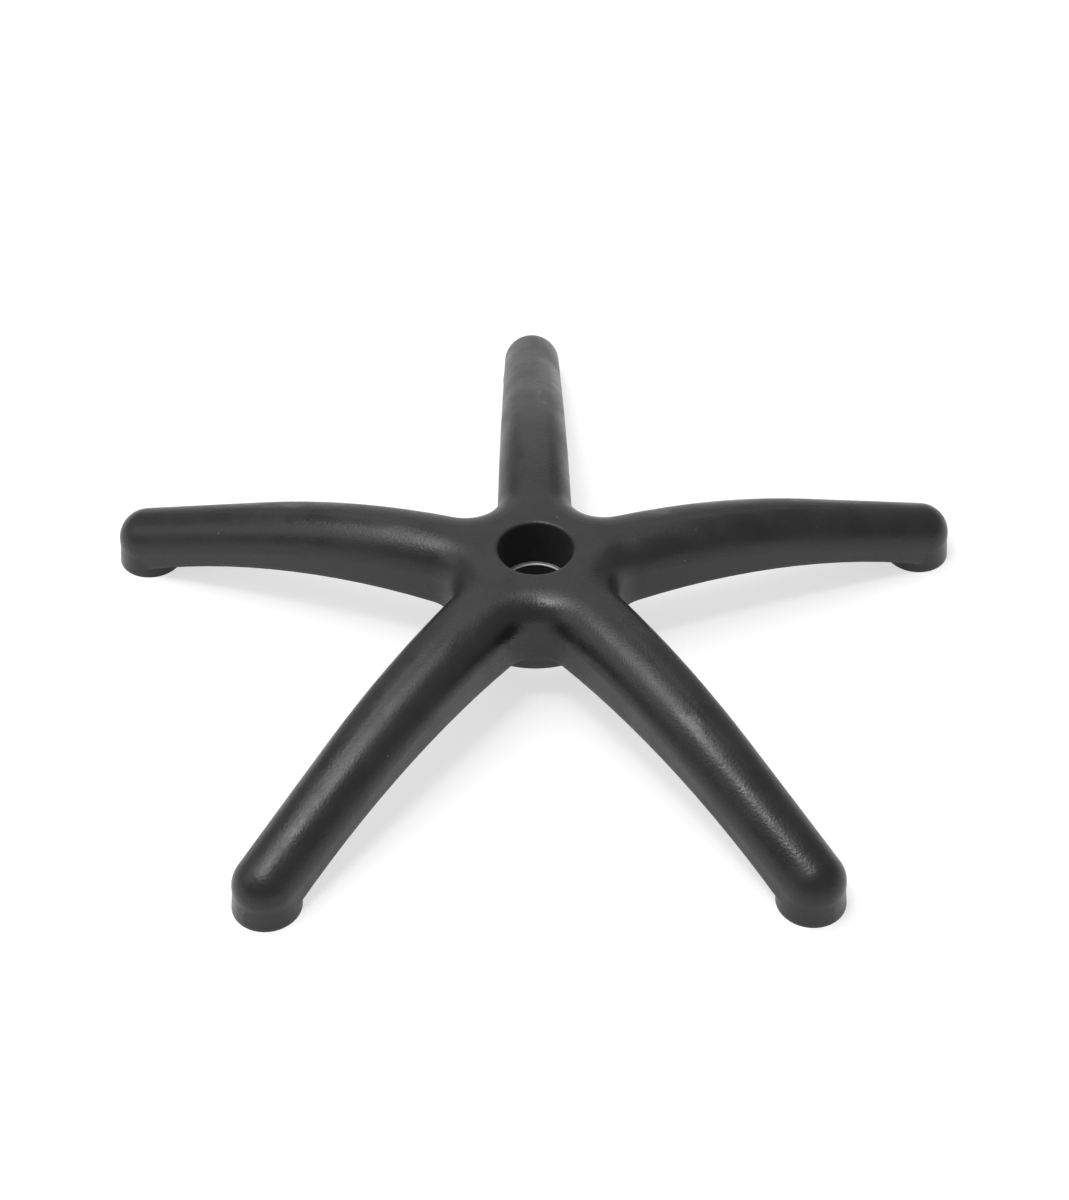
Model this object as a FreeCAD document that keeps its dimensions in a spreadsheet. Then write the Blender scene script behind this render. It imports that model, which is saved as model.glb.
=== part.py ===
import FreeCAD, Part
import math
import os

import Sketcher

# Five star base of an office chair, in millimetres: +Z up, the hub on the Z axis, the feet on Z = 0.
# One leg points along +Y. The base is moulded in one piece; a steel ring sits in the foot of its hub.

os.makedirs("parts", exist_ok=True)
doc = FreeCAD.newDocument("five_star_base")

SIZES = [
    ("leg_count", "5", "legs in the star"),
    ("foot_distance", "284.5", "hub axis to caster socket"),
    ("tip_radius", "20.5", "round end of a leg and round of its top edges"),
    ("leg_taper", "1.24", "lean of each leg side towards the tip, in plan"),
    ("corner_radius", "21.5", "plan round between two legs"),
    ("hub_height", "85.4", "floor to the flat hub top"),
    ("arch_radius", "480", "curve of a leg's top line"),
    ("tip_slope", "16.9", "straight fall of the last part of a leg"),
    ("under_radius", "450", "curve of a leg's lower edge"),
    ("under_peak_distance", "102", "where the lower edge is highest"),
    ("under_peak_height", "43", "floor to that highest place"),
    ("side_wall", "3.6", "thickness of the leg sides"),
    ("roof_wall", "4", "thickness under the top"),
    ("core_chamfer", "10.6", "bevel of the hollow under the rounded edges"),
    ("hub_bottom", "30.5", "floor to the foot of the hub"),
    ("skirt_radius", "57.6", "round wall of the hub, outside"),
    ("skirt_wall", "3.6", "its thickness"),
    ("sleeve_radius", "32", "tube round the gas lift bore, outside"),
    ("mouth_radius", "25", "gas lift bore at the hub top"),
    ("bore_taper", "0.5", "lean of the moulded bore"),
    ("mouth_chamfer", "1", "bevel of the mouth's edge"),
    ("ring_top", "50.7", "floor to the top of the steel ring"),
    ("ring_bore_radius", "22.3", "inside of the steel ring"),
    ("ring_wall", "4", "thickness of the steel ring"),
    ("ring_chamfer", "0.6", "bevel on the ring's upper inner edge"),
    ("ring_clearance", "0.02", "ring to its seat, all round"),
    ("rib_width", "2.8", "thickness of the ribs"),
    ("rib_recess", "2", "hub ribs above the hub's foot"),
    ("hub_rib_count", "5", "radial ribs in the hub"),
    ("lattice_start", "110", "hub axis to the first rib cross"),
    ("lattice_pitch", "86", "from one rib cross to the next"),
    ("lattice_count", "2", "rib crosses in a leg"),
    ("lattice_angle", "28", "lean of the crossed ribs"),
    ("foot_radius", "22", "foot on the floor"),
    ("foot_height", "16", "floor to where a foot runs into the leg"),
    ("foot_wall", "3.6", "wall round a foot"),
    ("foot_setback", "0.15", "top of a foot behind the leg's outer face"),
    ("well_depth", "14", "depth of the hollows round a socket"),
    ("socket_radius", "5.5", "caster stem socket"),
    ("socket_depth", "28", "depth of the socket"),
    ("socket_wall", "4", "thickness round the socket"),
    ("spare", "5", "extra on the blanks, cut off again"),
]

# Names for lengths that follow from the sizes.
HALF_TURN = "(180 / sizes.leg_count)"
SIDE_DISTANCE = "(sizes.tip_radius + sizes.foot_distance * sin(sizes.leg_taper))"
CORNER_END = f"(({SIDE_DISTANCE} + sizes.corner_radius) / tan({HALF_TURN} + sizes.leg_taper))"
BLANK_HEIGHT = "(sizes.hub_height + sizes.spare)"
CEILING = "(sizes.hub_height + 2 * sizes.spare)"
BEYOND_TIP = "(sizes.foot_distance + 2 * sizes.tip_radius)"
HOLLOW_END = "(sizes.foot_distance - sizes.foot_radius - sizes.side_wall / 2)"
FOOT_ALONG = "(sizes.foot_distance * cos(sizes.leg_taper))"
ARCH_DROP = "(sizes.arch_radius * (1 - cos(sizes.tip_slope)))"
FALL_START = f"({CORNER_END} + sizes.arch_radius * sin(sizes.tip_slope))"
TIP_TOP = f"(sizes.hub_height - {ARCH_DROP} - ({FOOT_ALONG} - {FALL_START}) * tan(sizes.tip_slope))"
TIP_CENTRE = f"({TIP_TOP} - sizes.tip_radius / cos(sizes.tip_slope))"
SEAT_RADIUS = "(sizes.ring_bore_radius + sizes.ring_wall + sizes.ring_clearance)"
SOCKET_OUTSIDE = "(sizes.socket_radius + sizes.socket_wall)"
WELL_SIDE = "(sizes.rib_width / 2)"
WELL_OUTSIDE = "(sizes.tip_radius - sizes.foot_wall)"
WELL_CORNER = f"({WELL_OUTSIDE} / sqrt(2))"
WELL_INSIDE = f"({SOCKET_OUTSIDE} * sqrt(2) - {WELL_SIDE})"
CROSS_LENGTH = "(5 * sizes.tip_radius)"
UP = FreeCAD.Vector(0, 0, 1)

sizes = doc.addObject("Spreadsheet::Sheet", "sizes")
for row, (alias, amount, meaning) in enumerate(SIZES, start=1):
    sizes.set(f"A{row}", meaning)
    sizes.set(f"B{row}", amount)
    sizes.setAlias(f"B{row}", alias)
doc.recompute()


def amount(expression):
    """The present value of an expression on the sheet, as a plain number."""
    value = sizes.evalExpression(expression)
    return float(getattr(value, "Value", value))


def origin_of(body, role):
    """One of the body's own planes or axes."""
    return [item for item in body.Origin.OriginFeatures if item.Role == role][0]


def new_sketch(body, name, role):
    """A sketch on one of the body's own planes."""
    sketch = body.newObject("Sketcher::SketchObject", name)
    sketch.AttachmentSupport = [(origin_of(body, role), "")]
    sketch.MapMode = "FlatFace"
    return sketch


def dimension(sketch, expression, kind, *places):
    """A sketch dimension that follows an expression."""
    index = sketch.addConstraint(Sketcher.Constraint(kind, *places, amount_in(kind, expression)))
    sketch.setExpression(f"Constraints[{index}]", expression)


def amount_in(kind, expression):
    """The number a new dimension starts with: angles are given to a sketch in radians."""
    value = amount(expression)
    return math.radians(value) if kind == "Angle" else value


def relate(sketch, kind, *places):
    """A sketch relation without a number."""
    sketch.addConstraint(Sketcher.Constraint(kind, *places))


def point(x, y):
    return FreeCAD.Vector(x, y, 0)


def line(sketch, start, end, helper=False):
    return sketch.addGeometry(Part.LineSegment(start, end), helper)


def arc(sketch, centre, radius, start, end):
    return sketch.addGeometry(Part.ArcOfCircle(Part.Circle(centre, UP, radius), start, end), False)


def polygon(sketch, corners):
    """A closed chain of lines, joined end to end; returns the index of its first line."""
    first = None
    for start, end in zip(corners, corners[1:] + corners[:1]):
        index = line(sketch, start, end)
        first = index if first is None else first
    count = len(corners)
    for step in range(count):
        relate(sketch, "Coincident", first + step, 2, first + (step + 1) % count, 1)
    return first


def finish(body, feature):
    """Make the feature the body's tip and rebuild."""
    body.Tip = feature
    doc.recompute()
    return feature


def normal_near(face, place):
    return face.normalAt(*face.Surface.parameter(place))


def edge_middle(edge):
    return edge.valueAt((edge.FirstParameter + edge.LastParameter) / 2)


def side_edges(shape):
    """Names of the edges between the top and the leg's side, from the tip to the corner between legs."""
    level = math.cos(math.radians(45))
    upright = 0.1
    names = []
    for number, edge in enumerate(shape.Edges, start=1):
        middle = edge_middle(edge)
        normals = [normal_near(face, middle) for face in shape.ancestorsOfType(edge, Part.Face)]
        tops = [normal for normal in normals if normal.z > level]
        walls = [normal for normal in normals if abs(normal.z) < upright]
        sides = [normal for normal in walls if normal.x > upright and normal.y > -upright]
        if tops and sides:
            names.append(f"Edge{number}")
    return names


def pad(body, name, sketch, length):
    feature = body.newObject("PartDesign::Pad", name)
    feature.Profile = sketch
    feature.setExpression("Length", length)
    return finish(body, feature)


def turned(body, kind, name, sketch, axis):
    """A Revolution or a Groove, all the way round."""
    feature = body.newObject(f"PartDesign::{kind}", name)
    feature.Profile = sketch
    feature.ReferenceAxis = axis
    feature.Angle = 360
    return finish(body, feature)


def round_about_hub(body, name, originals, count="sizes.leg_count"):
    """Copies of features, or of the whole body so far, spread round the hub axis."""
    pattern = body.newObject("PartDesign::PolarPattern", name)
    if originals:
        pattern.Originals = originals
    else:
        pattern.TransformMode = "Whole shape"
    pattern.Axis = (origin_of(body, "Z_Axis"), [""])
    pattern.Angle = 360
    pattern.setExpression("Occurrences", count)
    return finish(body, pattern)


def dress(body, kind, name, edges, field, expression):
    """A Fillet or a Chamfer on the body so far."""
    base = body.Tip
    feature = body.newObject(f"PartDesign::{kind}", name)
    feature.Base = (base, edges)
    feature.setExpression(field, expression)
    return finish(body, feature)


def sector_plan(body, inset, end_at):
    """Plan of half a leg, from just past its middle line to the line midway to the next leg."""
    sketch = new_sketch(body, body.Name + "_plan", "XY_Plane")
    lean = math.radians(amount("sizes.leg_taper"))
    turn = math.radians(amount(HALF_TURN))
    side = amount(f"{SIDE_DISTANCE} - {inset}")
    radius = amount(f"sizes.corner_radius + {inset}")
    past = amount("sizes.spare")
    far = amount(end_at)
    reach = (side + radius) / math.sin(turn + lean)
    centre = point(reach * math.sin(turn), reach * math.cos(turn))
    inner = point((reach - radius) * math.sin(turn), (reach - radius) * math.cos(turn))
    outer = point(centre.x - radius * math.cos(lean), centre.y - radius * math.sin(lean))
    wall_end = point((side - far * math.sin(lean)) / math.cos(lean), far)
    facing = 1.5 * math.pi - turn
    wall = line(sketch, outer, wall_end)
    end = line(sketch, wall_end, point(-past, far))
    middle = line(sketch, point(-past, far), point(-past, 0))
    heel = line(sketch, point(-past, 0), point(0, 0))
    border = line(sketch, point(0, 0), inner)
    corner = arc(sketch, centre, radius, math.pi + lean, facing)
    relate(sketch, "Tangent", corner, 1, wall, 1)
    relate(sketch, "Coincident", wall, 2, end, 1)
    relate(sketch, "Coincident", end, 2, middle, 1)
    relate(sketch, "Coincident", middle, 2, heel, 1)
    relate(sketch, "Coincident", heel, 2, -1, 1)
    relate(sketch, "Coincident", border, 1, -1, 1)
    relate(sketch, "Coincident", border, 2, corner, 2)
    relate(sketch, "PointOnObject", corner, 3, border)
    relate(sketch, "Horizontal", end)
    relate(sketch, "Vertical", middle)
    relate(sketch, "Horizontal", heel)
    dimension(sketch, "sizes.spare", "DistanceX", heel, 1, heel, 2)
    dimension(sketch, end_at, "DistanceY", -1, 1, end, 2)
    dimension(sketch, f"90 - {HALF_TURN}", "Angle", -1, 1, border, 1)
    dimension(sketch, f"sizes.corner_radius + {inset}", "Radius", corner)
    dimension(sketch, "90 + sizes.leg_taper", "Angle", -1, 1, wall, 1)
    dimension(sketch, f"{SIDE_DISTANCE} - {inset}", "Distance", -1, 1, wall)
    return sketch


def side_sketch(body, name):
    """A sketch on the upright plane that runs beside the leg's tapering wall."""
    sketch = new_sketch(body, name, "YZ_Plane")
    sketch.AttachmentOffset = FreeCAD.Placement(point(0, 0), FreeCAD.Rotation(FreeCAD.Vector(0, 1, 0), 1))
    sketch.setExpression("AttachmentOffset.Rotation.Angle", "sizes.leg_taper")
    return sketch


def through(body, name, sketch):
    """Cut the sketch's shape right through the body, to both sides."""
    cut = body.newObject("PartDesign::Pocket", name)
    cut.Profile = sketch
    cut.Type = "ThroughAll"
    cut.Midplane = True
    return finish(body, cut)


def top_profile(body, drop):
    """What is cut away above a leg: level over the hub, an arch, then a straight fall."""
    sketch = side_sketch(body, body.Name + "_top_profile")
    top = amount(f"sizes.hub_height - {drop}")
    flat = amount(CORNER_END)
    radius = amount(f"sizes.arch_radius - {drop}")
    slope = math.radians(amount("sizes.tip_slope"))
    near = -amount("sizes.spare")
    far = amount(BEYOND_TIP)
    ceiling = amount(CEILING)
    end = point(flat + radius * math.sin(slope), top - radius * (1 - math.cos(slope)))
    outer = point(far, end.y - (far - end.x) * math.tan(slope))
    level = line(sketch, point(near, top), point(flat, top))
    arch = arc(sketch, point(flat, top - radius), radius, math.pi / 2 - slope, math.pi / 2)
    fall = line(sketch, end, outer)
    side = line(sketch, outer, point(far, ceiling))
    lid = line(sketch, point(far, ceiling), point(near, ceiling))
    middle = line(sketch, point(near, ceiling), point(near, top))
    relate(sketch, "Tangent", level, 2, arch, 2)
    relate(sketch, "Tangent", arch, 1, fall, 1)
    relate(sketch, "Coincident", fall, 2, side, 1)
    relate(sketch, "Coincident", side, 2, lid, 1)
    relate(sketch, "Coincident", lid, 2, middle, 1)
    relate(sketch, "Coincident", middle, 2, level, 1)
    relate(sketch, "Horizontal", level)
    relate(sketch, "Vertical", side)
    relate(sketch, "Horizontal", lid)
    relate(sketch, "Vertical", middle)
    dimension(sketch, "sizes.spare", "DistanceX", middle, 1, -1, 1)
    dimension(sketch, f"sizes.hub_height - {drop}", "DistanceY", -1, 1, level, 1)
    dimension(sketch, CORNER_END, "DistanceX", -1, 1, level, 2)
    dimension(sketch, f"sizes.arch_radius - {drop}", "Radius", arch)
    dimension(sketch, "-sizes.tip_slope", "Angle", -1, 1, fall, 1)
    dimension(sketch, BEYOND_TIP, "DistanceX", -1, 1, fall, 2)
    dimension(sketch, CEILING, "DistanceY", -1, 1, lid, 2)
    return sketch


def under_profile(body):
    """What is cut away below a leg, as far out as the socket."""
    sketch = side_sketch(body, "under_profile")
    radius = amount("sizes.under_radius")
    peak = amount("sizes.under_peak_distance")
    centre = point(peak, amount("sizes.under_peak_height") - radius)
    near = -amount("sizes.spare")
    far = amount("sizes.foot_distance")
    below = -amount("sizes.tip_radius")
    inner = math.acos((near - peak) / radius)
    outer = math.acos((far - peak) / radius)
    near_end = point(near, centre.y + radius * math.sin(inner))
    far_end = point(far, centre.y + radius * math.sin(outer))
    arch = arc(sketch, centre, radius, outer, inner)
    middle = line(sketch, near_end, point(near, below))
    base = line(sketch, point(near, below), point(far, below))
    side = line(sketch, point(far, below), far_end)
    relate(sketch, "Coincident", arch, 2, middle, 1)
    relate(sketch, "Coincident", middle, 2, base, 1)
    relate(sketch, "Coincident", base, 2, side, 1)
    relate(sketch, "Coincident", side, 2, arch, 1)
    relate(sketch, "Vertical", middle)
    relate(sketch, "Horizontal", base)
    relate(sketch, "Vertical", side)
    dimension(sketch, "sizes.under_radius", "Radius", arch)
    dimension(sketch, "sizes.under_peak_distance", "DistanceX", -1, 1, arch, 3)
    dimension(sketch, "sizes.under_radius - sizes.under_peak_height", "DistanceY", arch, 3, -1, 1)
    dimension(sketch, "sizes.spare", "DistanceX", base, 1, -1, 1)
    dimension(sketch, "sizes.foot_distance", "DistanceX", -1, 1, base, 2)
    dimension(sketch, "sizes.tip_radius", "DistanceY", middle, 2, -1, 1)
    return sketch


def past_middle(body):
    """What is cut away beyond the leg's middle line."""
    sketch = new_sketch(body, body.Name + "_middle", "XY_Plane")
    wide = 2 * amount("sizes.spare")
    far = amount(BEYOND_TIP)
    first = polygon(sketch, [point(0, -wide), point(0, far), point(-wide, far), point(-wide, -wide)])
    relate(sketch, "PointOnObject", first, 1, -2)
    relate(sketch, "Vertical", first)
    relate(sketch, "Horizontal", first + 1)
    relate(sketch, "Vertical", first + 2)
    relate(sketch, "Horizontal", first + 3)
    dimension(sketch, "2 * sizes.spare", "DistanceX", first + 1, 2, first + 1, 1)
    dimension(sketch, "2 * sizes.spare", "DistanceY", first, 1, -1, 1)
    dimension(sketch, BEYOND_TIP, "DistanceY", -1, 1, first, 2)
    return sketch


def tip_seam(body, outward):
    """The cut where a leg meets its round tip: upright below the tip's centre, square to the fall above."""
    sketch = side_sketch(body, body.Name + "_seam")
    along = amount(FOOT_ALONG)
    centre = amount(TIP_CENTRE)
    ceiling = amount(CEILING)
    lean = (ceiling - centre) * math.tan(math.radians(amount("sizes.tip_slope")))
    side = amount(BEYOND_TIP if outward else f"{FOOT_ALONG} - sizes.tip_radius")
    low = -amount("sizes.tip_radius") if outward else centre
    corners = [point(along, centre), point(along + lean, ceiling), point(side, ceiling), point(side, low)]
    if outward:
        corners.append(point(along, low))
    first = polygon(sketch, corners)
    relate(sketch, "Horizontal", first + 1)
    relate(sketch, "Vertical", first + 2)
    relate(sketch, "Horizontal", first + 3)
    dimension(sketch, FOOT_ALONG, "DistanceX", -1, 1, first, 1)
    dimension(sketch, TIP_CENTRE, "DistanceY", -1, 1, first, 1)
    dimension(sketch, CEILING, "DistanceY", -1, 1, first, 2)
    dimension(sketch, "90 - sizes.tip_slope", "Angle", -1, 1, first, 1)
    if outward:
        relate(sketch, "Vertical", first + 4)
        dimension(sketch, BEYOND_TIP, "DistanceX", -1, 1, first + 2, 1)
        dimension(sketch, "sizes.tip_radius", "DistanceY", first + 2, 2, -1, 1)
    else:
        dimension(sketch, "sizes.tip_radius", "DistanceX", first + 3, 1, first + 3, 2)
    return sketch


def tip_section(body):
    """Half section of a leg's tip: a round wall with a ball on top, turned about the socket's axis."""
    sketch = new_sketch(body, "tip_section", "YZ_Plane")
    axis_at = amount("sizes.foot_distance")
    radius = amount("sizes.tip_radius")
    low = amount("sizes.foot_height / 2")
    centre = amount(TIP_CENTRE)
    axis = line(sketch, point(axis_at, centre + radius), point(axis_at, low))
    base = line(sketch, point(axis_at, low), point(axis_at + radius, low))
    wall = line(sketch, point(axis_at + radius, low), point(axis_at + radius, centre))
    ball = arc(sketch, point(axis_at, centre), radius, 0, math.pi / 2)
    relate(sketch, "Coincident", axis, 2, base, 1)
    relate(sketch, "Coincident", base, 2, wall, 1)
    relate(sketch, "Coincident", ball, 2, axis, 1)
    relate(sketch, "Tangent", wall, 2, ball, 1)
    relate(sketch, "Vertical", axis)
    relate(sketch, "Horizontal", base)
    relate(sketch, "Vertical", wall)
    relate(sketch, "PointOnObject", ball, 3, axis)
    dimension(sketch, "sizes.foot_distance", "DistanceX", -1, 1, axis, 2)
    dimension(sketch, "sizes.foot_height / 2", "DistanceY", -1, 1, axis, 2)
    dimension(sketch, TIP_CENTRE, "DistanceY", -1, 1, ball, 3)
    dimension(sketch, "sizes.tip_radius", "Radius", ball)
    return sketch


def make_star(body):
    """Mirror half a leg and set the legs round the hub."""
    both = body.newObject("PartDesign::Mirrored", body.Name + "_leg")
    both.TransformMode = "Whole shape"
    both.MirrorPlane = (origin_of(body, "YZ_Plane"), [""])
    finish(body, both)
    round_about_hub(body, body.Name + "_star", None)


def foot_section(body):
    """Half section of a foot, which widens a little towards the floor."""
    sketch = new_sketch(body, "foot_section", "YZ_Plane")
    axis_at = amount("sizes.foot_distance")
    high = amount("sizes.foot_height")
    base_end = axis_at + amount("sizes.foot_radius")
    lid_end = axis_at + amount("sizes.tip_radius - sizes.foot_setback")
    corners = [point(axis_at, 0), point(base_end, 0), point(lid_end, high), point(axis_at, high)]
    first = polygon(sketch, corners)
    relate(sketch, "PointOnObject", first, 1, -1)
    relate(sketch, "Horizontal", first)
    relate(sketch, "Horizontal", first + 2)
    relate(sketch, "Vertical", first + 3)
    dimension(sketch, "sizes.foot_distance", "DistanceX", -1, 1, first, 1)
    dimension(sketch, "sizes.foot_radius", "DistanceX", first, 1, first, 2)
    dimension(sketch, "sizes.tip_radius - sizes.foot_setback", "DistanceX", first + 2, 2, first + 2, 1)
    dimension(sketch, "sizes.foot_height", "DistanceY", first + 3, 2, first + 3, 1)
    return sketch


def well_plan(body):
    """The four hollows between the crossed ribs, the wall and the socket of a foot."""
    sketch = new_sketch(body, "well_plan", "XY_Plane")
    corners = [
        (WELL_SIDE, WELL_OUTSIDE),
        (WELL_CORNER, WELL_CORNER),
        (WELL_OUTSIDE, WELL_SIDE),
        (WELL_INSIDE, WELL_SIDE),
        (WELL_SIDE, WELL_INSIDE),
    ]
    for across, along in ((1, 1), (1, -1), (-1, 1), (-1, -1)):
        places = []
        for x, y in corners:
            places.append((f"{across} * {x}", f"sizes.foot_distance + {along} * {y}"))
        first = polygon(sketch, [point(amount(x), amount(y)) for x, y in places])
        for step, (x, y) in enumerate(places):
            dimension(sketch, x, "DistanceX", -1, 1, first + step, 1)
            dimension(sketch, y, "DistanceY", -1, 1, first + step, 1)
    return sketch


def upward(body, name, sketch, depth):
    """Cut the sketch's shape upwards out of the body."""
    cut = body.newObject("PartDesign::Pocket", name)
    cut.Profile = sketch
    cut.setExpression("Length", depth)
    cut.Reversed = True
    return finish(body, cut)


def disc(body, name, along, *radii):
    """A sketch of one circle, or of a ring, at a distance along the leg's line."""
    sketch = new_sketch(body, name, "XY_Plane")
    for radius in radii:
        centre = point(0, amount(along))
        circle = sketch.addGeometry(Part.Circle(centre, FreeCAD.Vector(0, 0, 1), amount(radius)), False)
        if amount(along) == 0:
            relate(sketch, "Coincident", circle, 3, -1, 1)
        else:
            relate(sketch, "PointOnObject", circle, 3, -2)
            dimension(sketch, along, "DistanceY", -1, 1, circle, 3)
        dimension(sketch, radius, "Radius", circle)
    return sketch


def strip(body, name, start, end):
    """A sketch of a rib's plan: a strip along Y with its middle on the leg's line."""
    sketch = new_sketch(body, name, "XY_Plane")
    near = amount(start)
    far = amount(end)
    half = amount("sizes.rib_width") / 2
    first = polygon(sketch, [point(-half, near), point(half, near), point(half, far), point(-half, far)])
    relate(sketch, "Symmetric", first, 1, first, 2, -2)
    relate(sketch, "Vertical", first + 1)
    relate(sketch, "Horizontal", first + 2)
    relate(sketch, "Vertical", first + 3)
    dimension(sketch, "sizes.rib_width", "DistanceX", first, 1, first, 2)
    dimension(sketch, start, "DistanceY", -1, 1, first, 1)
    dimension(sketch, f"{end} - ({start})", "DistanceY", first + 1, 1, first + 1, 2)
    return sketch


def bar(body, name, along, turn, length):
    """A sketch of a rib's plan: a bar about a place on the leg's line, turned from it by an angle."""
    sketch = new_sketch(body, name, "XY_Plane")
    tall = amount(length) / 2
    half = amount("sizes.rib_width") / 2
    first = polygon(sketch, [point(-half, -tall), point(half, -tall), point(half, tall), point(-half, tall)])
    relate(sketch, "Horizontal", first)
    relate(sketch, "Vertical", first + 1)
    relate(sketch, "Horizontal", first + 2)
    relate(sketch, "Vertical", first + 3)
    relate(sketch, "Symmetric", first, 1, first + 1, 2, -1, 1)
    dimension(sketch, "sizes.rib_width", "DistanceX", first, 1, first, 2)
    dimension(sketch, length, "DistanceY", first + 1, 1, first + 1, 2)
    sketch.setExpression("AttachmentOffset.Base.y", along)
    sketch.setExpression("AttachmentOffset.Rotation.Angle", turn)
    return sketch


def lift(sketch, height):
    """Raise a sketch above its plane."""
    sketch.setExpression("AttachmentOffset.Base.z", height)
    return sketch


def bore_profile(body):
    """What is cut away for the gas lift: a bevelled mouth, a leaning bore and the ring's seat."""
    sketch = new_sketch(body, "bore_profile", "YZ_Plane")
    top = amount("sizes.hub_height")
    mouth = amount("sizes.mouth_radius")
    edge = amount("sizes.mouth_chamfer")
    lean = math.tan(math.radians(amount("sizes.bore_taper")))
    seat_top = amount("sizes.ring_top + sizes.ring_clearance")
    seat = amount(SEAT_RADIUS)
    bore = mouth - (top - edge - seat_top) * lean
    floor = polygon(sketch, [
        point(0, 0),
        point(seat, 0),
        point(seat, seat_top),
        point(bore, seat_top),
        point(mouth, top - edge),
        point(mouth + edge, top),
        point(0, top),
    ])
    seat_wall = floor + 1
    shoulder = floor + 2
    wall = floor + 3
    bevel = floor + 4
    lid = floor + 5
    relate(sketch, "Coincident", floor, 1, -1, 1)
    relate(sketch, "Horizontal", floor)
    relate(sketch, "Vertical", seat_wall)
    relate(sketch, "Horizontal", shoulder)
    relate(sketch, "Horizontal", lid)
    relate(sketch, "PointOnObject", lid, 2, -2)
    dimension(sketch, SEAT_RADIUS, "DistanceX", floor, 1, floor, 2)
    dimension(sketch, "sizes.ring_top + sizes.ring_clearance", "DistanceY", seat_wall, 1, seat_wall, 2)
    dimension(sketch, "90 - sizes.bore_taper", "Angle", -1, 1, wall, 1)
    dimension(sketch, "sizes.mouth_radius", "DistanceX", -1, 1, wall, 2)
    dimension(sketch, "sizes.mouth_chamfer", "DistanceX", bevel, 1, bevel, 2)
    dimension(sketch, "sizes.mouth_chamfer", "DistanceY", bevel, 1, bevel, 2)
    dimension(sketch, "sizes.hub_height", "DistanceY", -1, 1, lid, 2)
    return sketch


# The outer half of half a leg's tip.
tip = doc.addObject("PartDesign::Body", "tip")
tip_profile = tip_section(tip)
tip_turning = turned(tip, "Revolution", "tip_turning", tip_profile, (tip_profile, ["Edge1"]))
tip_turning.setExpression("Angle", "90 - sizes.leg_taper")
through(tip, "tip_seam_cut", tip_seam(tip, False))

# The solid star, with its drum, feet, sockets and bore, before it is hollowed.
outer = doc.addObject("PartDesign::Body", "outer")
pad(outer, "half_leg", sector_plan(outer, "0", BEYOND_TIP), BLANK_HEIGHT)
through(outer, "top_cut", top_profile(outer, "0"))
through(outer, "under_cut", under_profile(outer))
dress(outer, "Fillet", "top_round", side_edges(outer.Shape), "Radius", "sizes.tip_radius")
through(outer, "seam_cut", tip_seam(outer, True))
through(outer, "middle_cut", past_middle(outer))
whole = outer.newObject("PartDesign::Boolean", "leg_with_tip")
whole.Type = "Fuse"
whole.setObjects([tip])
finish(outer, whole)
make_star(outer)
drum = lift(disc(outer, "drum_plan", "0", "sizes.skirt_radius"), "sizes.hub_bottom")
pad(outer, "drum", drum, "sizes.under_peak_height + sizes.rib_width - sizes.hub_bottom")
foot = foot_section(outer)
foot = turned(outer, "Revolution", "foot", foot, (foot, ["Edge4"]))
socket = disc(outer, "socket_plan", "sizes.foot_distance", "sizes.socket_radius")
socket = upward(outer, "socket", socket, "sizes.socket_depth")
wells = upward(outer, "wells", well_plan(outer), "sizes.well_depth")
round_about_hub(outer, "feet", [foot, socket, wells])
turned(outer, "Groove", "lift_bore", bore_profile(outer), (origin_of(outer, "Z_Axis"), [""]))

# The hollow, before the ribs are left standing in it.
hollow = doc.addObject("PartDesign::Body", "hollow")
pad(hollow, "half_hollow", sector_plan(hollow, "sizes.side_wall", HOLLOW_END), BLANK_HEIGHT)
through(hollow, "roof_cut", top_profile(hollow, "sizes.roof_wall"))
dress(hollow, "Chamfer", "roof_bevel", side_edges(hollow.Shape), "Size", "sizes.core_chamfer")
through(hollow, "hollow_middle_cut", past_middle(hollow))
make_star(hollow)

# Everything that stands inside the hollow.
ribs = doc.addObject("PartDesign::Body", "ribs")
pad(ribs, "sleeve", disc(ribs, "sleeve_plan", "0", "sizes.sleeve_radius"), BLANK_HEIGHT)
hub_rib = strip(ribs, "hub_rib_plan", "0", "sizes.skirt_radius - sizes.skirt_wall / 2")
hub_rib = pad(ribs, "hub_rib", lift(hub_rib, "sizes.hub_bottom + sizes.rib_recess"), BLANK_HEIGHT)
round_about_hub(ribs, "hub_ribs", [hub_rib], "sizes.hub_rib_count")
skirt = disc(ribs, "skirt_plan", "0", "sizes.skirt_radius", "sizes.skirt_radius - sizes.skirt_wall")
pad(ribs, "skirt", skirt, BLANK_HEIGHT)
cross = bar(ribs, "cross_plan", "sizes.lattice_start", "sizes.lattice_angle", CROSS_LENGTH)
cross = pad(ribs, "cross", cross, BLANK_HEIGHT)
along_leg = doc.addObject("PartDesign::LinearPattern", "along_leg")
along_leg.Direction = (origin_of(ribs, "Y_Axis"), [""])
along_leg.setExpression("Length", "(sizes.lattice_count - 1) * sizes.lattice_pitch")
along_leg.setExpression("Occurrences", "sizes.lattice_count")
across_leg = doc.addObject("PartDesign::Mirrored", "across_leg")
across_leg.MirrorPlane = (origin_of(ribs, "YZ_Plane"), [""])
every_leg = doc.addObject("PartDesign::PolarPattern", "every_leg")
every_leg.Axis = (origin_of(ribs, "Z_Axis"), [""])
every_leg.Angle = 360
every_leg.setExpression("Occurrences", "sizes.leg_count")
lattice = ribs.newObject("PartDesign::MultiTransform", "lattice")
lattice.Originals = [cross]
lattice.Transformations = [along_leg, across_leg, every_leg]
finish(ribs, lattice)

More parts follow.
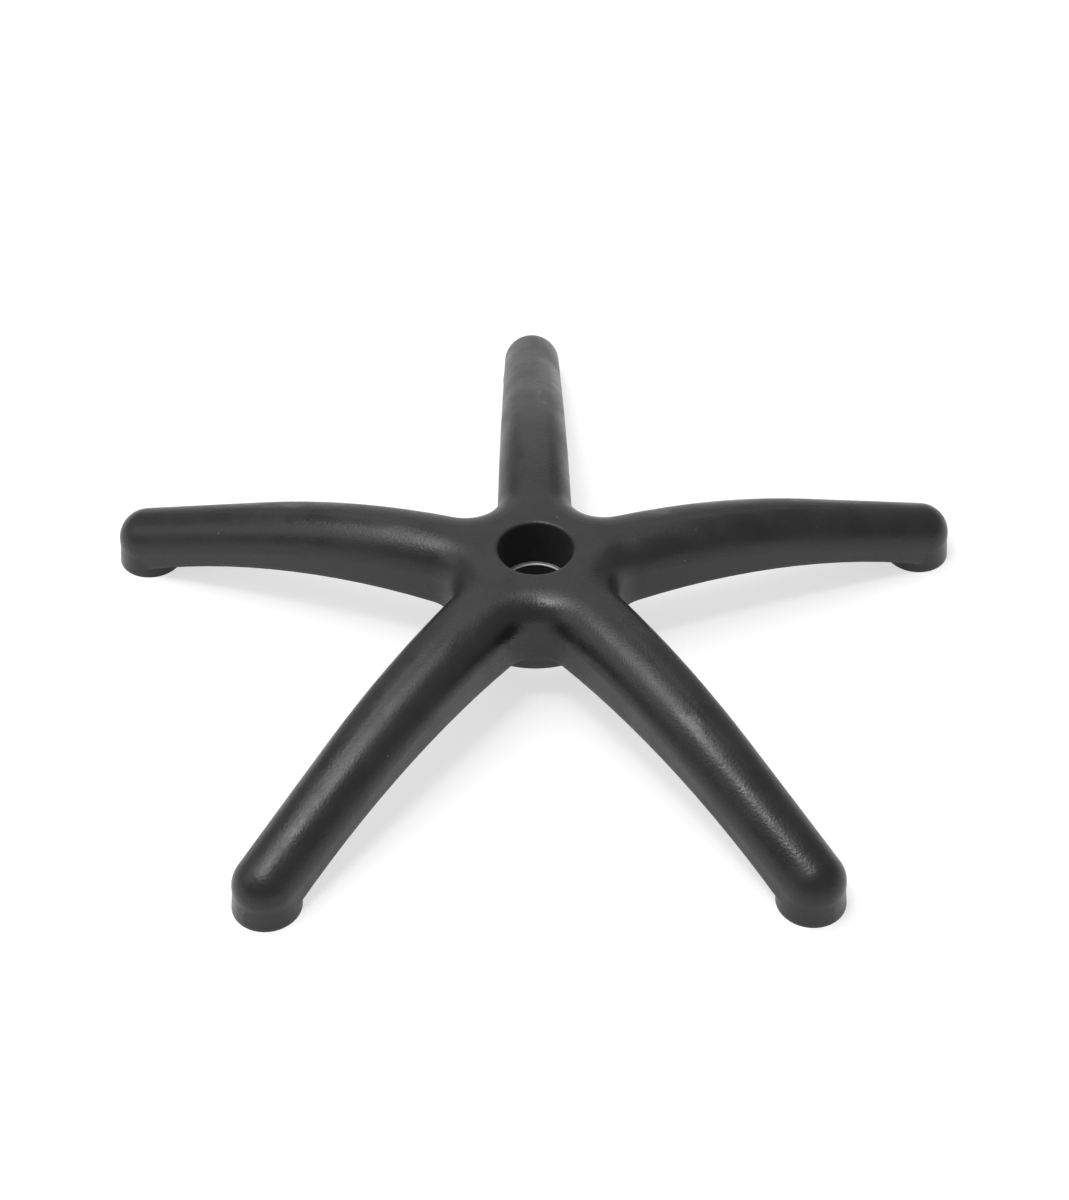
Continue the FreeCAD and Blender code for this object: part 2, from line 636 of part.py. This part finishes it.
# The core of the mould: the hollow without its ribs. It is taken out of the solid star.
core = doc.addObject("Part::Cut", "core")
core.Base = hollow
core.Tool = ribs
star_base = doc.addObject("Part::Cut", "star_base")
star_base.Base = outer
star_base.Tool = core
doc.recompute()

# The steel ring pressed into the foot of the hub.
ring = doc.addObject("PartDesign::Body", "hub_ring")
section = new_sketch(ring, "ring_section", "YZ_Plane")
inside = amount("sizes.ring_bore_radius")
outside = inside + amount("sizes.ring_wall")
bevel = amount("sizes.ring_chamfer")
low = amount("sizes.hub_bottom")
high = amount("sizes.ring_top")
start = polygon(section, [
    point(inside, low),
    point(outside, low),
    point(outside, high),
    point(inside + bevel, high),
    point(inside, high - bevel),
])
relate(section, "Horizontal", start)
relate(section, "Vertical", start + 1)
relate(section, "Horizontal", start + 2)
relate(section, "Vertical", start + 4)
dimension(section, "sizes.ring_bore_radius", "DistanceX", -1, 1, start, 1)
dimension(section, "sizes.ring_bore_radius + sizes.ring_wall", "DistanceX", -1, 1, start, 2)
dimension(section, "sizes.hub_bottom", "DistanceY", -1, 1, start, 1)
dimension(section, "sizes.ring_top", "DistanceY", -1, 1, start + 2, 1)
dimension(section, "sizes.ring_chamfer", "DistanceX", start + 3, 2, start + 3, 1)
dimension(section, "sizes.ring_chamfer", "DistanceY", start + 3, 2, start + 3, 1)
turned(ring, "Revolution", "ring_turning", section, (origin_of(ring, "Z_Axis"), [""]))
doc.recompute()

for item in doc.Objects:
    if "Invalid" in item.State or "Error" in item.State:
        raise RuntimeError(f"{item.Name} did not build: {item.getStatusString()}")

for piece in (star_base, ring):
    if piece.Shape.isNull() or not piece.Shape.isValid():
        raise RuntimeError(f"{piece.Label} has no sound shape")
    if len(piece.Shape.Solids) != 1:
        raise RuntimeError(f"{piece.Label} is in {len(piece.Shape.Solids)} pieces")
    piece.Shape.exportStep(f"parts/{piece.Label}.step")
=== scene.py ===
import bpy
from math import radians
from mathutils import Matrix

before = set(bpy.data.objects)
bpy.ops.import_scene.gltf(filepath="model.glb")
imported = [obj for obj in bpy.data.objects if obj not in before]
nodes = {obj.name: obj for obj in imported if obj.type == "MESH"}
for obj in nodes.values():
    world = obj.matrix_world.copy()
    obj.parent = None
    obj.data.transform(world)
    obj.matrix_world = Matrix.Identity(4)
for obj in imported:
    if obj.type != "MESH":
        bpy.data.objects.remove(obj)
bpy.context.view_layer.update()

scene = bpy.context.scene
scene.view_settings.view_transform = "Standard"
print("frame loaded:", sorted(nodes))


# helpers for node trees, where a value is a number, a colour or another node's output

mixSockets = {"first": 6, "second": 7, "result": 2}      # colour sockets of the Mix node


def newMaterial(name):
    made = bpy.data.materials.new(name)
    made.use_nodes = True
    tree = made.node_tree
    tree.nodes.clear()
    output = tree.nodes.new("ShaderNodeOutputMaterial")
    return made, tree, output


def opaque(tone):
    return (*tone, 1) if isinstance(tone, tuple) else (tone, tone, tone, 1)


def setSocket(tree, socket, value):
    if isinstance(value, bpy.types.NodeSocket):
        tree.links.new(value, socket)
    else:
        socket.default_value = value


def addNode(tree, kind, **values):
    node = tree.nodes.new(kind)
    for name, value in values.items():
        setSocket(tree, node.inputs[name.replace("_", " ")], value)
    return node


def addMath(tree, operation, *values):
    node = tree.nodes.new("ShaderNodeMath")
    node.operation = operation
    for socket, value in zip(node.inputs, values):
        setSocket(tree, socket, value)
    return node.outputs["Value"]


def addRamp(tree, source, stops):
    ramp = addNode(tree, "ShaderNodeValToRGB", Fac=source)
    for element, (place, tone) in zip(ramp.color_ramp.elements, stops):      # a new ramp has two stops
        element.position = place
        element.color = opaque(tone)
    return ramp.outputs["Color"]


def addMix(tree, factor, first, second):
    mix = addNode(tree, "ShaderNodeMix", Factor=factor)
    mix.data_type = "RGBA"
    setSocket(tree, mix.inputs[mixSockets["first"]], first)
    setSocket(tree, mix.inputs[mixSockets["second"]], second)
    return mix.outputs[mixSockets["result"]]


def addShaderMix(tree, factor, first, second):
    mix = addNode(tree, "ShaderNodeMixShader", Fac=factor)
    tree.links.new(first, mix.inputs[1])
    tree.links.new(second, mix.inputs[2])
    return mix.outputs["Shader"]


def dress(piece, material):
    piece.data.materials.clear()
    piece.data.materials.append(material)


# moulded nylon, seen on every leg and on the hub

nylon = {
    "tones": [(0.30, (0.010, 0.010, 0.0102)), (0.72, (0.016, 0.016, 0.0162))],      # cloud value, colour
    "gloss": [(0.34, 0.28), (0.62, 0.43)],      # cloud value, roughness: rubbed skin, then dull skin
    "specular": 0.46,
    "cloudScale": 34,        # slow flow clouds, in waves per metre
    "cloudDetail": 5.0,
    "cloudRoughness": 0.62,
    "grainScale": 560,       # moulded grain, about 1.8 mm
    "grainDetail": 2.0,
    "grainRoughness": 0.55,
    "grainDepth": 0.00038,
    "grainStrength": 0.52,
    "grainGloss": 0.12,      # spread of roughness from grain to grain
    "edgeRound": 0.0035,     # moulded edges look rounded by this much, in metres
    "edgeSamples": 6,
    "dust": (0.11, 0.11, 0.108),
    "speckScale": 130,       # cells that may hold a dust speck, about 8 mm
    "speckEdge": [(0.04, 1.0), (0.09, 0.0)],    # distance from the cell's middle, amount of dust
    "speckShare": [(0.80, 0.0), (0.84, 1.0)],   # only a few cells, by their random tone, hold one
    "boreShadeTone": (0.005, 0.005, 0.005),          # the hub's bore is matt, and its near-black colour is painted shade
    "boreRoughness": 0.88,
    "boreInside": 0.0252,    # reach from the hub's axis, in metres, up to which it is
    "boreOutside": 0.0258,
}


def makeNylon(look):
    made, tree, output = newMaterial("mouldedBlackNylon")
    place = addNode(tree, "ShaderNodeTexCoord").outputs["Object"]
    cloud = addNode(tree, "ShaderNodeTexNoise", Vector=place, Scale=look["cloudScale"],
                    Detail=look["cloudDetail"], Roughness=look["cloudRoughness"]).outputs["Fac"]
    grain = addNode(tree, "ShaderNodeTexNoise", Vector=place, Scale=look["grainScale"],
                    Detail=look["grainDetail"], Roughness=look["grainRoughness"]).outputs["Fac"]
    cells = addNode(tree, "ShaderNodeTexVoronoi", Vector=place, Scale=look["speckScale"])

    flat = addNode(tree, "ShaderNodeMapping", Vector=place, Scale=(1, 1, 0))
    reach = addNode(tree, "ShaderNodeVectorMath", Vector=flat.outputs["Vector"])
    reach.operation = "LENGTH"
    outside = addNode(tree, "ShaderNodeMapRange", Value=reach.outputs["Value"],
                      From_Min=look["boreInside"], From_Max=look["boreOutside"]).outputs["Result"]

    speck = addRamp(tree, cells.outputs["Distance"], look["speckEdge"])
    share = addRamp(tree, cells.outputs["Color"], look["speckShare"])
    dusted = addMath(tree, "MULTIPLY", speck, share)
    skinTone = addMix(tree, dusted, addRamp(tree, cloud, look["tones"]), opaque(look["dust"]))
    # inside the bore the colour is near-black painted shade
    tone = addMix(tree, outside, opaque(look["boreShadeTone"]), skinTone)

    grainy = addMath(tree, "MULTIPLY_ADD", grain, look["grainGloss"], addRamp(tree, cloud, look["gloss"]))
    skinGloss = addMath(tree, "SUBTRACT", grainy, look["grainGloss"] / 2)
    gloss = addMix(tree, outside, opaque(look["boreRoughness"]), skinGloss)

    edges = addNode(tree, "ShaderNodeBevel", Radius=look["edgeRound"])
    edges.samples = look["edgeSamples"]
    bump = addNode(tree, "ShaderNodeBump", Height=grain, Normal=edges.outputs["Normal"],
                   Strength=look["grainStrength"], Distance=look["grainDepth"])
    shader = addNode(tree, "ShaderNodeBsdfPrincipled", Base_Color=tone, Roughness=gloss,
                     Normal=bump.outputs["Normal"], Specular_IOR_Level=look["specular"])
    tree.links.new(shader.outputs["BSDF"], output.inputs["Surface"])
    return made


# steel ring in the hub: walls painted near-black as painted shade, bare and bright along the top edge

steel = {
    # the walls' near-black tones are painted shade
    "shadedWallTones": [(0.3, (0.006, 0.006, 0.006)), (0.7, (0.013, 0.013, 0.012))],      # tool line, colour
    "edgeTones": [(0.3, (0.55, 0.55, 0.55)), (0.7, (0.80, 0.80, 0.79))],
    "wallSpecular": 0.12,
    "wallRoughness": 0.60,
    "edgeRoughness": 0.48,
    "edgeFrom": 0.0494,      # height in the hub where the bare edge starts, in metres
    "edgeFull": 0.0500,
    "lineScale": 900,        # tool lines, about 1.1 mm apart in height
    "lineStretch": (0.05, 0.05, 1.0),    # they run round the hub, 20 times as long as high
    "lineDetail": 3.0,
    "lineDepth": 0.00003,
    "lineStrength": 0.35,
}


def makeSteel(look):
    made, tree, output = newMaterial("hubRingSteel")
    place = addNode(tree, "ShaderNodeTexCoord").outputs["Object"]
    stretch = addNode(tree, "ShaderNodeMapping", Vector=place, Scale=look["lineStretch"])
    lines = addNode(tree, "ShaderNodeTexNoise", Vector=stretch.outputs["Vector"],
                    Scale=look["lineScale"], Detail=look["lineDetail"]).outputs["Fac"]
    height = addNode(tree, "ShaderNodeSeparateXYZ", Vector=place).outputs["Z"]
    bare = addNode(tree, "ShaderNodeMapRange", Value=height,
                   From_Min=look["edgeFrom"], From_Max=look["edgeFull"]).outputs["Result"]

    # the walls below the bare edge take the painted-shade tones
    wall = addRamp(tree, lines, look["shadedWallTones"])
    edge = addRamp(tree, lines, look["edgeTones"])
    gloss = addRamp(tree, bare, [(0.0, look["wallRoughness"]), (1.0, look["edgeRoughness"])])
    bump = addNode(tree, "ShaderNodeBump", Height=lines,
                   Strength=look["lineStrength"], Distance=look["lineDepth"])
    shader = addNode(tree, "ShaderNodeBsdfPrincipled", Base_Color=addMix(tree, bare, wall, edge),
                     Metallic=bare, Roughness=gloss, Normal=bump.outputs["Normal"],
                     Specular_IOR_Level=look["wallSpecular"])
    tree.links.new(shader.outputs["BSDF"], output.inputs["Surface"])
    return made


dress(nodes["star_base"], makeNylon(nylon))
dress(nodes["hub_ring"], makeSteel(steel))
print("materials set")


# studio floor and the room round it

studio = {
    "floorSize": 40.0,
    "floorTone": 0.42,
    "floorGlow": 0.64,       # what the eye, mirrors and glass see besides the lit floor
    "horizonTone": 0.80,
    "roomTone": 0.40,
    "roomFrom": 0.16,        # sine of the height where the room has its own tone
}


def makeFloor(look):
    bpy.ops.object.select_all(action="DESELECT")
    bpy.ops.mesh.primitive_plane_add(size=look["floorSize"], location=(0, 0, 0))
    floor = bpy.context.object
    floor.name = "studioFloor"
    made, tree, output = newMaterial("paleFloor")
    lit = addNode(tree, "ShaderNodeBsdfDiffuse", Color=opaque(look["floorTone"])).outputs["BSDF"]
    glow = addNode(tree, "ShaderNodeEmission", Color=opaque(1.0), Strength=look["floorGlow"])
    glowing = tree.nodes.new("ShaderNodeAddShader")
    tree.links.new(lit, glowing.inputs[0])
    tree.links.new(glow.outputs["Emission"], glowing.inputs[1])

    ray = tree.nodes.new("ShaderNodeLightPath").outputs
    mirrored = addMath(tree, "MAXIMUM", ray["Is Glossy Ray"], ray["Is Transmission Ray"])
    seen = addMath(tree, "MAXIMUM", ray["Is Camera Ray"], mirrored)
    top = addShaderMix(tree, seen, lit, glowing.outputs["Shader"])

    below = tree.nodes.new("ShaderNodeNewGeometry").outputs["Backfacing"]
    clear = tree.nodes.new("ShaderNodeBsdfTransparent").outputs["BSDF"]      # the ribs show from below
    tree.links.new(addShaderMix(tree, below, top, clear), output.inputs["Surface"])
    dress(floor, made)


def makeWorld(look):
    world = bpy.data.worlds.new("paleRoom")
    scene.world = world
    world.use_nodes = True
    tree = world.node_tree
    tree.nodes.clear()
    output = tree.nodes.new("ShaderNodeOutputWorld")
    way = tree.nodes.new("ShaderNodeTexCoord").outputs["Generated"]
    height = addNode(tree, "ShaderNodeSeparateXYZ", Vector=way).outputs["Z"]
    tone = addRamp(tree, height, [(0.0, look["horizonTone"]), (look["roomFrom"], look["roomTone"])])
    room = addNode(tree, "ShaderNodeBackground", Color=tone)
    tree.links.new(room.outputs["Background"], output.inputs["Surface"])


makeFloor(studio)
makeWorld(studio)
print("studio set")


# soft boxes over the table, all aimed at the origin

softBoxes = {
    "overhead": {"at": (-0.55, -0.05, 1.92), "size": 1.2, "power": 12.8},
    "overBack": {"at": (-0.26, 0.45, 1.93), "size": 1.2, "power": 9.3},
    "smallKey": {"at": (-0.38, -0.45, 1.91), "size": 0.35, "power": 8.8},
    "leftSide": {"at": (-1.55, -0.27, 1.23), "size": 1.2, "power": 4.9},
    "behind": {"at": (0, 1.93, 0.52), "size": 1.4, "power": 3.1},
    "behindHigh": {"at": (0, 1.53, 1.29), "size": 1.2, "power": 1.4},
}


def makeLight(name, look):
    bpy.ops.object.select_all(action="DESELECT")
    bpy.ops.object.light_add(type="AREA", location=look["at"])
    lamp = bpy.context.object
    lamp.name = name
    lamp.data.shape = "SQUARE"
    lamp.data.size = look["size"]
    lamp.data.energy = look["power"]
    lamp.rotation_euler = (-lamp.location).to_track_quat("-Z", "Y").to_euler()


for lightName, lightLook in softBoxes.items():
    makeLight(lightName, lightLook)
print("lights set")


# camera at the photo's place

cameraLook = {
    "at": (-0.011754, -1.196730, 1.170130),
    "below": 43.781,         # degrees under the horizon
    "turn": -0.462,          # degrees, anticlockwise seen from above
    "roll": -0.075,
    "lens": 73.52,
    "sensor": 36,
    "shiftX": 0.00175,
    "shiftY": 0.01337,
    "near": 0.01,            # nothing closer than this is drawn, in metres
}


def makeCamera(look):
    bpy.ops.object.select_all(action="DESELECT")
    bpy.ops.object.camera_add()
    camera = bpy.context.object
    camera.name = "photoCamera"
    camera.data.lens = look["lens"]
    camera.data.sensor_width = look["sensor"]
    camera.data.shift_x = look["shiftX"]
    camera.data.shift_y = look["shiftY"]
    camera.data.clip_start = look["near"]
    pan = Matrix.Rotation(radians(look["turn"]), 4, "Z")
    tilt = Matrix.Rotation(radians(90 - look["below"]), 4, "X")
    roll = Matrix.Rotation(radians(look["roll"]), 4, "Z")
    camera.matrix_world = Matrix.Translation(look["at"]) @ pan @ tilt @ roll
    scene.camera = camera


makeCamera(cameraLook)
print("camera set")
